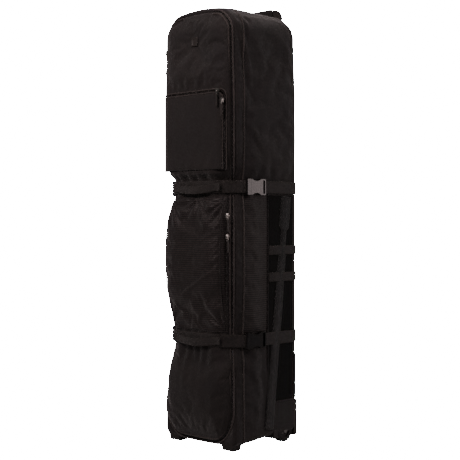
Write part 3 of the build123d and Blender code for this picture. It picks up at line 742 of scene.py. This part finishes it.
# The shallow lined pocket behind the flap.
def pocketRecess():
    half, low, high = flapHigh[0] + 0.001, flapLow[2] - 0.0005, flapHigh[2] + 0.001
    ys = [lidFront + 0.0045, lidFront + 0.010, lidFront + 0.0155]
    rows = []
    for y, inset in ((ys[0], 0), (ys[1], 0.002), (ys[2], 0.006)):
        loop = outlineLoop(half - inset, low + inset, high - inset, 0.006, 0.006, (12, 4, 20))
        rows.append([(x, y, z) for x, z in loop])
    for keep in (0.75, 0.5, 0.25, 0.02):
        rows.append([(x * keep, ys[2], (z - (low + high) / 2) * keep + (low + high) / 2)
                     for x, _, z in rows[2]])
    points = np.array(rows)
    faces = gridFaces(len(rows), points.shape[1], True)
    meshPiece("upper_pocket_lining", points.reshape(-1, 3), faces, lining, "lid", slot="padded_fabric")


# Coils along the top and both sides of the flap.
def flapZipper():
    half, top = chainHigh[0] - 0.004, chainHigh[2] - 0.004
    bend = upperPocket["zipperCorner"]
    turn = np.linspace(0, math.pi / 2, 12)
    line = [(-half, z) for z in np.linspace(chainLow[2], top - bend, 60)]
    line += [(-half + bend - bend * math.cos(a), top - bend + bend * math.sin(a)) for a in turn]
    line += [(x, top) for x in np.linspace(-half + bend, half - bend, 60)]
    line += [(half - bend + bend * math.sin(a), top - bend + bend * math.cos(a)) for a in turn]
    line += [(half, z) for z in np.linspace(top - bend, chainLow[2], 60)]
    path = np.array([(x, float(lidSurface(x, z)) - 0.0009, z) for x, z in line])
    for side in (1, -1):
        coilRows("upper_pocket_coil_%d" % (side > 0), path, (0, -1, 0), "lid",
                 ["upper_pocket_zipper"] if side > 0 else [], fabricSide=side)
    for shift, name in ((upperPocket["edgeGap"], "outer"), (-upperPocket["edgeGap"], "inner")):
        middle = np.array([0, 0, (chainLow[2] + top) / 2])
        away = path - middle
        line = path.copy()
        line[:, 0] += np.sign(away[:, 0]) * shift * (np.abs(path[:, 0]) > half - 0.012)
        line[:, 2] += shift * (path[:, 2] > top - 0.012)
        line[:, 1] = lidSurface(line[:, 0], line[:, 2]) - 0.0011
        tube("upper_pocket_edge_" + name, line, upperPocket["edgeRadius"], welt,
             "lid" if shift > 0 else "pocket_flap")


flapSkin()
pocketRecess()
flapZipper()
print("upper pocket made")


midLow, midHigh = [list(c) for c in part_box("mid_pocket")]
# The bellows pocket: how far it stands out, how square its edges are, its wall, piping and folds.
midShape = dict(depth=0.034, power=4.5, wall=0.002, piping=0.0015, cornerFolds=0.0042, longFold=0.0045)


# How far the bellows pocket stands out at height z.
def midDepth(z):
    marks = ((midLow[2], 0.0), (0.372, 0.14), (0.398, 0.28), (0.436, 0.54), (0.473, 0.80), (0.52, 0.96),
             (0.56, 1.0), (0.62, 0.93), (0.68, 0.78), (0.72, 0.5), (0.742, 0.28), (midHigh[2], 0.0))
    heights = np.linspace(midLow[2], midHigh[2], 300)
    share = np.interp(heights, *zip(*marks))
    kernel = np.exp(-np.linspace(-2, 2, 15) ** 2)
    share = np.convolve(np.pad(share, 7, mode="edge"), kernel / kernel.sum(), "valid")
    return midShape["depth"] * np.interp(z, heights, share)


# A point on the pocket, where share runs from -1 at its left edge to 1 at its right.
def midSurface(share, z):
    half = midHigh[0] - 0.004 * tight(z) - 0.0005
    x = share * half
    rise = np.maximum(1 - np.abs(share) ** midShape["power"], 0) ** (1 / 2.6)
    return x, waistY - 0.0012 * rise - midDepth(z) * rise


# The bellows pocket between the straps, in ripstop with folds drawn towards its corners.
def midSkin():
    zs = np.arange(midLow[2], midHigh[2] + 1e-6, (midHigh[2] - midLow[2]) / 96)
    shares = np.sin(np.linspace(-1, 1, 81) * math.pi / 2)
    shares = 0.45 * shares + 0.55 * np.linspace(-1, 1, 81)
    gs, gz = np.meshgrid(shares, zs)
    gx, gy = midSurface(gs, gz)
    points = pointsOf(gx, gy, gz)
    x, _, z = points.T
    edge = np.clip((1 - np.abs(gs.reshape(-1))) / 0.12, 0, 1)
    edge = edge * np.clip(np.minimum(z - midLow[2], midHigh[2] - z) / 0.012, 0, 1)
    lift = 0.0022 * cloud(points * (1, 1, 1.5), 0.09, 12.4) + 0.0007 * cloud(points, 0.03, 4.4)
    high, low = midHigh[2] - 0.01, midLow[2] + 0.01
    for cx, cz, size in ((0.12, high, 0.13), (-0.10, high, 0.11), (0.12, low, 0.12), (-0.12, low, 0.12),
                         (0.02, midHigh[2] + 0.005, 0.09)):
        away = np.hypot(x - cx, z - cz)
        angle = np.arctan2(z - cz, x - cx)
        rays = np.sin(angle * 11 + 6 * cloud(points, 0.3, cx * 40, 2))
        lift += midShape["cornerFolds"] * np.exp(-(away / size) ** 2) * rays
    fold = (x + 0.02) * 0.55 - (z - 0.468)
    lift += midShape["longFold"] * np.exp(-(fold / 0.008) ** 2) * np.exp(-((x - 0.03) / 0.06) ** 2)
    points[:, 1] -= lift * edge
    points = squeeze(points)
    piece = meshPiece("mid_pocket_skin", points, gridFaces(len(zs), 81), ripstop, "lid", ["mid_pocket"],
                      "ripstop", extraMaterials=[lining])
    sewn = (np.abs(gs.reshape(-1)) > 0.9) | (z < midLow[2] + 0.004) | (z > midHigh[2] - 0.004)
    settle(piece, sewn, 0.4, 0.022, 0.009, 0.5)
    addLining(piece, midShape["wall"])
    for share in (-0.93, 0.93):
        sx, sy = midSurface(np.full_like(zs, share), zs)
        seam = squeeze(pointsOf(sx, sy - 0.0012, zs)[2:-2])
        tube("mid_pocket_piping_%d" % (share > 0), seam, midShape["piping"], padded, "lid")


midSkin()
zipLow, zipHigh = [list(c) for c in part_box("mid_pocket_zipper")]
midPath = np.array([(zipHigh[0], (zipLow[1] + zipHigh[1]) / 2, z)
                    for z in np.linspace(zipLow[2], zipHigh[2], 80)])
for side in (1, -1):
    coilRows("mid_pocket_coil_%d" % (side > 0), midPath, (1, 0, 0), "lid",
             ["mid_pocket_zipper"] if side > 0 else [], fabricSide=side)
print("middle pocket made")


# Widths and thicknesses of the compression straps, their grips, the ladder's bands and the haul straps.
webbing = dict(strap=0.038, strapThick=0.0019, grip=0.0235, gripThick=0.0021, gripBow=0.012, gripSag=0.009,
               band=0.028, bandThick=0.002, haulThick=0.0024, haulArch=0.003)


# The compression strap from one buckle across the front to the other.
def frontStrap(level):
    z = strapZ[level]
    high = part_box("strap_front_" + level)[1]
    slot, endY = high[0] - 0.001, high[1]
    frontY = rimY - lidShape["waist"]
    square = [(x, frontY, z) for x in np.linspace(0, sideX, 60)]
    square += [(sideX, y, z) for y in np.linspace(frontY, -0.07, 24)[1:]]
    fine = squeeze(np.array(square))
    fine = fine + unit(np.cross(np.gradient(fine, axis=0), (0, 0, 1))) * 0.0022
    fine = fine[fine[:, 1] < -0.098]
    tail = np.array([(slot, y, z) for y in np.linspace(-0.086, endY, 8)])
    bridge = fine[-1] + (tail[0] - fine[-1]) * np.linspace(0, 1, 5)[1:-1, None]
    right = np.vstack([fine, bridge, tail])
    path = np.vstack([right[1:][::-1] * (-1, 1, 1), right])
    spots, _ = evenly(path, 0.006)
    for _ in range(3):
        spots[1:-1] = (spots[:-2] + spots[1:-1] * 2 + spots[2:]) / 4
    sweep("strap_front_%s_webbing" % level, spots, (0, 0, 1), webbing["strap"], webbing["strapThick"],
          webbingFlat, "lid", replace=["strap_front_" + level], slot="webbing")
    lines = []
    for sign in (-1, 1):
        # Box and cross stitching.
        patch = spots[(spots[:, 0] > 0.085) & (spots[:, 0] < 0.112)] - (0, 0.0011, 0)
        for up in (-0.0165, 0.0165):
            lines.append([(sign * x, y, z + up) for x, y, _ in patch])
        ends = patch[0], patch[-1]
        step = ends[1] - ends[0]
        for first, second in ((-0.0165, 0.0165), (0.0165, -0.0165)):
            lines.append([(sign * (ends[0][0] + step[0] * t), ends[0][1] + step[1] * t,
                           z + first + (second - first) * t) for t in np.linspace(0, 1, 14)])
        for end in ends:
            lines.append([(sign * end[0], end[1], z + h) for h in np.linspace(-0.0165, 0.0165, 10)])
    stitching("strap_front_%s_stitches" % level, lines, "lid")


# The small carrying grip: narrower webbing bowed over the strap and sewn down at both ends.
def gripStrap(level):
    low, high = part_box("grab_handle_" + level)
    z = (low[2] + high[2]) / 2
    reach, base = high[0], high[1] - 0.0028
    path = []
    for x in np.linspace(-reach, reach, 60):
        slack = max(0.0, 1 - (x / 0.088) ** 2)
        path.append((x, base - webbing["gripBow"] * slack ** 1.3, z - webbing["gripSag"] * slack))
    sweep("grab_handle_%s_webbing" % level, path, (0, 0, 1), webbing["grip"], webbing["gripThick"],
          webbingFlat, "lid", replace=["grab_handle_" + level], slot="webbing")
    lines = []
    for sign in (-1, 1):
        for up in (-0.009, 0.009):
            lines.append([(sign * x, base - 0.0012, z + up) for x in np.linspace(0.089, reach - 0.003, 8)])
        for x in (0.090, reach - 0.003):
            lines.append([(sign * x, base - 0.0012, z + h) for h in np.linspace(-0.009, 0.009, 7)])
    stitching("grab_handle_%s_stitches" % level, lines, "lid")


# A path round the back, a given distance outside the case, from one side to the other.
def around(offset, z, startY):
    x, y = sideX + offset, backY + offset
    radius = 0.022 + offset
    right = [(x, t, z) for t in np.linspace(startY, y - radius, 24)]
    right += [(x - radius + radius * math.cos(a), y - radius + radius * math.sin(a), z)
              for a in np.linspace(0, math.pi / 2, 9)[1:]]
    right += [(t, y, z) for t in np.linspace(x - radius, 0, 20)[1:]]
    right = np.array(right)
    return np.vstack([right, right[:-1][::-1] * (-1, 1, 1)])


# The straps' back halves, the ladder's two bands and the long haul straps.
def backWebbing():
    for level, z in strapZ.items():
        low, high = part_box("strap_back_" + level)
        path = around(high[0] - sideX - 0.001, z, low[1] - 0.012)
        sweep("strap_back_%s_webbing" % level, path, (0, 0, 1), webbing["strap"], webbing["strapThick"],
              webbingFlat, "case", replace=["strap_back_" + level], slot="webbing")
    for name in ("upper", "lower"):
        low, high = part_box("back_band_" + name)
        z = (low[2] + high[2]) / 2
        path = around(high[0] - sideX - 0.001, z, low[1])
        tuck = 0.0012 * np.clip((low[1] + 0.03 - path[:, 1]) / 0.03, 0, 1) * (np.abs(path[:, 0]) > sideX)
        path[:, 0] -= np.sign(path[:, 0]) * tuck
        sweep("back_band_%s_webbing" % name, path, (0, 0, 1), webbing["band"], webbing["bandThick"],
              webbingFlat, "case", replace=["back_band_" + name], slot="webbing")
        lines = [[(sign * (high[0] + 0.0002), low[1] + t, z + h) for t in np.linspace(0.003, 0.02, 6)]
                 for sign in (-1, 1) for h in (-0.011, 0.011, 0.0)]
        lines += [[(sign * (high[0] + 0.0002), low[1] + t, z + h) for h in np.linspace(-0.011, 0.011, 8)]
                  for sign in (-1, 1) for t in (0.003, 0.02)]
        stitching("back_band_%s_stitches" % name, lines, "case")
    for side, sign in (("left", -1), ("right", 1)):
        low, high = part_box("haul_strap_" + side)
        x = max(abs(low[0]), abs(high[0])) - 0.0014
        topY, lowY = high[1] - 0.023, low[1] + 0.023
        zs = np.linspace(high[2], low[2], 150)
        ys = topY + (lowY - topY) * (high[2] - zs) / (high[2] - low[2])
        # The flat paddle at its top, its neck, then the strap.
        marks = (-0.76, -0.662, -0.657, -0.61, -0.60, -0.05)
        widths = np.interp(-zs, marks, (0.046, 0.046, 0.026, 0.026, 0.036, 0.038))
        bow = 0.0012 * np.sin((zs - 0.327) / (0.513 - 0.327) * math.pi) * ((zs > 0.35) & (zs < 0.49))
        path = pointsOf(sign * (x - 0.0004 + bow), ys, zs)
        down = np.array((0, lowY - topY, low[2] - high[2]))
        down /= np.linalg.norm(down)
        across = np.cross(down, (1, 0, 0))
        sweep("haul_strap_%s_webbing" % side, path, across, widths, webbing["haulThick"], haulWebbing, "case",
              arch=sign * webbing["haulArch"], replace=["haul_strap_" + side], slot="webbing")
        edge = (path + across * (widths / 2 - 0.003)[:, None] + (sign * 0.0013, 0, 0),
                path - across * (widths / 2 - 0.003)[:, None] + (sign * 0.0013, 0, 0))
        stitching("haul_strap_%s_stitches" % side, edge, "case", 0.004)


for level in strapZ:
    frontStrap(level)
    gripStrap(level)
backWebbing()
print("webbing made")


# The haul handle: webbing width and thickness, its bend, and how far the sleeve's ends close in.
handle = dict(width=0.025, thick=0.0026, bend=0.022, ends=0.006)


# A webbing loop sewn to the back, with a padded sleeve round its middle.
def haulHandle():
    low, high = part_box("grab_webbing")
    half, y = high[0] - 0.013, (low[1] + high[1]) / 2
    top, bend = high[2] - 0.013, handle["bend"]
    right = [(half + 0.002 * math.sin((z - low[2]) * 30), z) for z in np.linspace(low[2], top - bend, 30)]
    right += [(half - bend + bend * math.cos(a), top - bend + bend * math.sin(a))
              for a in np.linspace(0, math.pi / 2, 10)[1:]]
    right += [(x, top) for x in np.linspace(half - bend, 0, 16)[1:]]
    right = np.array([(x, y, z) for x, z in right])
    path = np.vstack([right, right[:-1][::-1] * (-1, 1, 1)])
    across = unit(np.cross(np.gradient(path, axis=0), (0, 1, 0)))
    sweep("haul_handle_webbing", path, across, handle["width"], handle["thick"], webbingUp, "case",
          replace=["grab_webbing"], slot="webbing")
    low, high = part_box("grab_grip")
    rows, middle = [], (low[2] + high[2]) / 2
    for x in np.linspace(low[0], high[0], 41):
        end = min(1.0, (high[0] - abs(x)) / handle["ends"] + 0.35)
        tall, deep = (high[2] - low[2]) / 2 * end, (high[1] - low[1]) / 2 * end
        ripple = 1 + 0.02 * math.sin(x * 520)
        ring = [(math.cos(a), math.sin(a)) for a in np.arange(24) * math.pi / 12]
        rows.append([(x, (low[1] + high[1]) / 2 + math.copysign(abs(c) ** 0.7, c) * deep * ripple,
                      middle + math.copysign(abs(s) ** 0.7, s) * tall) for c, s in ring])
    piece = meshPiece("haul_handle_sleeve", np.array(rows).reshape(-1, 3), tubeFaces(41, 24), gripCloth,
                      "case", ["grab_grip"], "padded_fabric")


padShape = dict(quilt=0.11, rise=0.0035, edge=0.012, wall=0.002)  # quilt is the height of each sewn channel


# A quilted pad down the back.
def backPad():
    low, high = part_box("back_pad")
    xs, zs = np.linspace(low[0], high[0], 60), np.linspace(low[2], high[2], 200)
    gx, gz = np.meshgrid(xs, zs)
    edge = np.clip(np.minimum(high[0] - np.abs(gx), np.minimum(gz - low[2], high[2] - gz))
                   / padShape["edge"], 0, 1)
    channel = np.abs(((gz - low[2]) / padShape["quilt"]) % 1 - 0.5) * 2
    rise = padShape["rise"] * np.sqrt(edge) * np.clip((1 - channel) / 0.08, 0.15, 1) ** 0.6
    bands = np.zeros_like(gz)
    for name in ("back_band_upper", "back_band_lower", "strap_back_upper", "strap_back_lower"):
        a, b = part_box(name)
        bands = np.maximum(bands, smoothStep(gz, a[2] - 0.02, a[2]) * (1 - smoothStep(gz, b[2], b[2] + 0.02)))
    gy = low[1] + rise * (1 - 0.35 * bands)
    points = pointsOf(gx, gy, gz)
    faces = [f[::-1] for f in gridFaces(200, 60)]
    piece = meshPiece("back_pad_skin", points, faces, padded, "case", ["back_pad"], "padded_fabric")
    addWall(piece, padShape["wall"])


backing = dict(rise=0.0012, wall=0.002, inset=0.011, binding=0.0018)  # mesh panels behind the haul straps


# Spacer mesh panels behind the haul straps, bound along their edges; their near-black colour is painted shade
# for the recess.
def sideBackings():
    for side, sign in (("left", -1), ("right", 1)):
        low, high = [list(c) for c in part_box("side_backing_" + side)]
        low[1] += backing["inset"]
        ys, zs = np.linspace(low[1], high[1], 30), np.linspace(low[2], high[2], 130)
        gy, gz = np.meshgrid(ys, zs)
        inside = np.minimum(np.minimum(gy - low[1], high[1] - gy), np.minimum(gz - low[2], high[2] - gz))
        edge = np.clip(inside / 0.006, 0, 1)
        gx = sign * (sideX + 0.0002 + backing["rise"] * np.sqrt(edge) + caseShape["crown"] * 0.35)
        points = pointsOf(gx, gy, gz)
        faces = gridFaces(130, 30)
        if sign < 0:
            faces = [f[::-1] for f in faces]
        piece = meshPiece("side_backing_%s_mesh" % side, points, faces, meshClothPaintedShade, "case",
                          ["side_backing_" + side], "mesh_backing")
        addWall(piece, backing["wall"])
        border = [(low[1], z) for z in np.linspace(low[2], high[2], 60)]
        border += [(y, high[2]) for y in np.linspace(low[1], high[1], 12)[1:]]
        border += [(high[1], z) for z in np.linspace(high[2], low[2], 60)[1:]]
        border += [(y, low[2]) for y in np.linspace(high[1], low[1], 12)[1:-1]]
        tube("side_backing_%s_binding" % side, [(sign * (sideX + 0.0016), y, z) for y, z in border],
             backing["binding"], webbingUp, "case", closed=True)


# The patch's thickness, and its raised rim, which runs from inner to outer.
patch = dict(base=0.0004, rim=0.0013, inner=0.62, outer=0.95, wall=0.0022)


# A small plain square patch with a raised rim.
def blankPatch():
    low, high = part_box("blank_patch")
    middle, half = (low[2] + high[2]) / 2, (high[0] - low[0]) / 2 - 0.001
    grid = np.linspace(-1, 1, 21)
    gx, gz = np.meshgrid(grid, grid)
    ring = np.maximum(np.abs(gx), np.abs(gz))
    rise = patch["base"] + patch["rim"] * ((ring > patch["inner"]) & (ring < patch["outer"]))
    gx, gz = gx * half, gz * half + middle
    points = pointsOf(gx, lidSurface(gx, gz) - 0.0015 - rise, gz)
    piece = meshPiece("blank_patch_face", points, gridFaces(21, 21), softRubber, "lid", ["blank_patch"],
                      "patch")
    addWall(piece, patch["wall"])


haulHandle()
backPad()
sideBackings()
blankPatch()
print("handle and pads made")


# A pull's loop (half width, half height, wire), its grip (half width, half depth, ribs) and how far it bows.
pull = dict(loopWide=0.0022, loopTall=0.0068, wire=0.0010, wide=0.0034, deep=0.0016, ribs=0.10, bow=0.007)


# A zinc loop and a ribbed rubber grip that hang from a slider's pin.
def pullPiece(name):
    node = "pull_" + name
    low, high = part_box(node)
    facingSide = (high[0] - low[0]) < (high[1] - low[1])
    centre = np.array([(a + b) / 2 for a, b in zip(low, high)])
    pin = high[2] - 0.0019
    tip = low[2]
    bow = math.copysign(pull["bow"], centre[0]) if name.startswith("main") else 0.0

    def place(a, out, z):
        out = out + bow * math.sin(min(1.0, max(0.0, (pin - z) / (pin - tip))) * 2.2)
        return (centre[0] + out, centre[1] + a, z) if facingSide else (centre[0] + a, centre[1] - out, z)

    loop = [place(pull["loopWide"] * math.sin(t), 0.0, pin - 0.007 + pull["loopTall"] * math.cos(t))
            for t in np.linspace(0, 2 * math.pi, 28)[:-1]]
    tube(node + "_loop", loop, pull["wire"], zinc, node, closed=True, replace=[node], slot="slider_metal")
    rows, count = [], 46
    for i in range(count):
        t = i / (count - 1)
        z = pin - 0.011 + (tip + 0.0015 - pin + 0.011) * t
        end = min(1.0, 6 * t + 0.45, 8 * (1 - t) + 0.45)
        rib = 1 + pull["ribs"] * math.cos(i * math.pi) * (0.15 < t < 0.85)
        wide, deep = pull["wide"] * end * rib, pull["deep"] * end * rib
        ring = [(math.cos(a), math.sin(a)) for a in np.arange(16) * math.pi / 8]
        rows.append([place(wide * math.copysign(abs(c) ** 0.6, c), deep * math.copysign(abs(s) ** 0.6, s), z)
                     for c, s in ring])
    meshPiece(node + "_grip", np.array(rows).reshape(-1, 3), tubeFaces(count, 16), softRubber, node,
              slot="pull_rubber")


# Softens a carried-over part's edges.
def bevelNode(name, width):
    soft = nodes[name].modifiers.new("softened", "BEVEL")
    soft.width, soft.segments, soft.limit_method, soft.angle_limit = width, 2, "ANGLE", 0.6
    soft.harden_normals = True


for name in ("main_1", "main_2", "flap_1", "flap_2", "mid_1", "mid_2"):
    pullPiece(name)
    bevelNode("slider_" + name, 0.0005)
print("pulls made")


# Each carried-over part's material and bevel.
finishes = {
    "front_foot": (texturedPlastic, 0.003),
    "wheel_housing": (texturedPlastic, 0.002),
    "skid_rail": (plainPlastic, 0.0015),
    "base_tray": (plainPlastic, 0.001),
    "axle": (steel, 0.0004),
    "wheel_tyre": (rubber, 0.0),
    "wheel_hub": (hubPlastic, 0.0008),
    "wheel_bearing": (steel, 0.0004),
    "buckle": (acetal, 0.0009),
    "slider": (zinc, 0.0),
}
for nodeName in nodes:
    for start, (material, width) in finishes.items():
        if nodeName.startswith(start):
            data = nodes[nodeName].data
            data.materials.clear()
            data.materials.append(material)
            if width:
                bevelNode(nodeName, width)


# The white surround as the camera sees it and as it lights the case, the lamps' tint, and each lamp's name,
# place across and ahead of the view, height, height that it points at, size and watts.
studio = dict(white=60.0, ambient=0.12, tint=(1.0, 0.84, 0.83),
              lamps=(("front", -1.5, -1.7, 2.6, 1.2, 0.8, 32), ("side", 2.7, -0.05, 0.98, 0.98, 0.8, 7),
                     ("fill", 1.5, -1.9, 2.5, 1.15, 0.8, 8), ("top", 0.2, 0.3, 3.2, 0.9, 1.4, 10)))
camera = dict(right=0.0076, back=3.395, height=0.693, lens=85.0, shift=-0.026)


# A white floor and surround, soft studio lamps and the camera.
def stage():
    scene = bpy.context.scene
    pale = bpy.data.materials.new("paperWhite")
    pale.use_nodes = True
    tree = pale.node_tree
    seen = addNode(tree, "LightPath").outputs["Is Camera Ray"]
    glow = addNode(tree, "Emission", Color=(1, 1, 1, 1), Strength=studio["white"])
    matte = addNode(tree, "BsdfDiffuse", Color=(0.5, 0.5, 0.5, 1))
    blend = addNode(tree, "MixShader", [("Fac", seen)])
    tree.links.new(matte.outputs[0], blend.inputs[1])
    tree.links.new(glow.outputs[0], blend.inputs[2])
    under = addNode(tree, "MixShader", [("Fac", addNode(tree, "NewGeometry").outputs["Backfacing"])])
    tree.links.new(blend.outputs[0], under.inputs[1])
    tree.links.new(addNode(tree, "BsdfTransparent").outputs[0], under.inputs[2])
    tree.links.new(under.outputs[0], tree.nodes["Material Output"].inputs[0])
    bpy.ops.mesh.primitive_plane_add(size=60)
    floor = bpy.context.object
    floor.name = "floor"
    floor.data.materials.append(pale)
    world = bpy.data.worlds.new("world")
    scene.world = world
    world.use_nodes = True
    air = world.node_tree
    seen = addNode(air, "LightPath").outputs["Is Camera Ray"]
    level = addNode(air, "MapRange", [("Value", seen)], To_Min=studio["ambient"], To_Max=studio["white"])
    air.nodes["Background"].inputs[0].default_value = (1, 1, 1, 1)
    air.links.new(level.outputs[0], air.nodes["Background"].inputs[1])
    look = Vector((-math.sin(math.pi / 4), math.cos(math.pi / 4), 0))
    right = Vector((math.cos(math.pi / 4), math.sin(math.pi / 4), 0))
    for name, across, ahead, height, aim, size, power in studio["lamps"]:
        data = bpy.data.lights.new(name, "AREA")
        data.size, data.energy = size, power
        lamp = bpy.data.objects.new(name, data)
        data.color = studio["tint"]
        lamp.location = right * across + look * ahead + Vector((0, 0, height))
        lamp.rotation_euler = (Vector((0, 0, aim)) - lamp.location).to_track_quat("-Z", "Y").to_euler()
        scene.collection.objects.link(lamp)
    data = bpy.data.cameras.new("camera")
    data.lens, data.sensor_width, data.shift_y = camera["lens"], 36.0, camera["shift"]
    eye = bpy.data.objects.new("camera", data)
    eye.location = right * camera["right"] - look * camera["back"] + Vector((0, 0, camera["height"]))
    eye.rotation_euler = look.to_track_quat("-Z", "Y").to_euler()
    scene.collection.objects.link(eye)
    scene.camera = eye


stage()
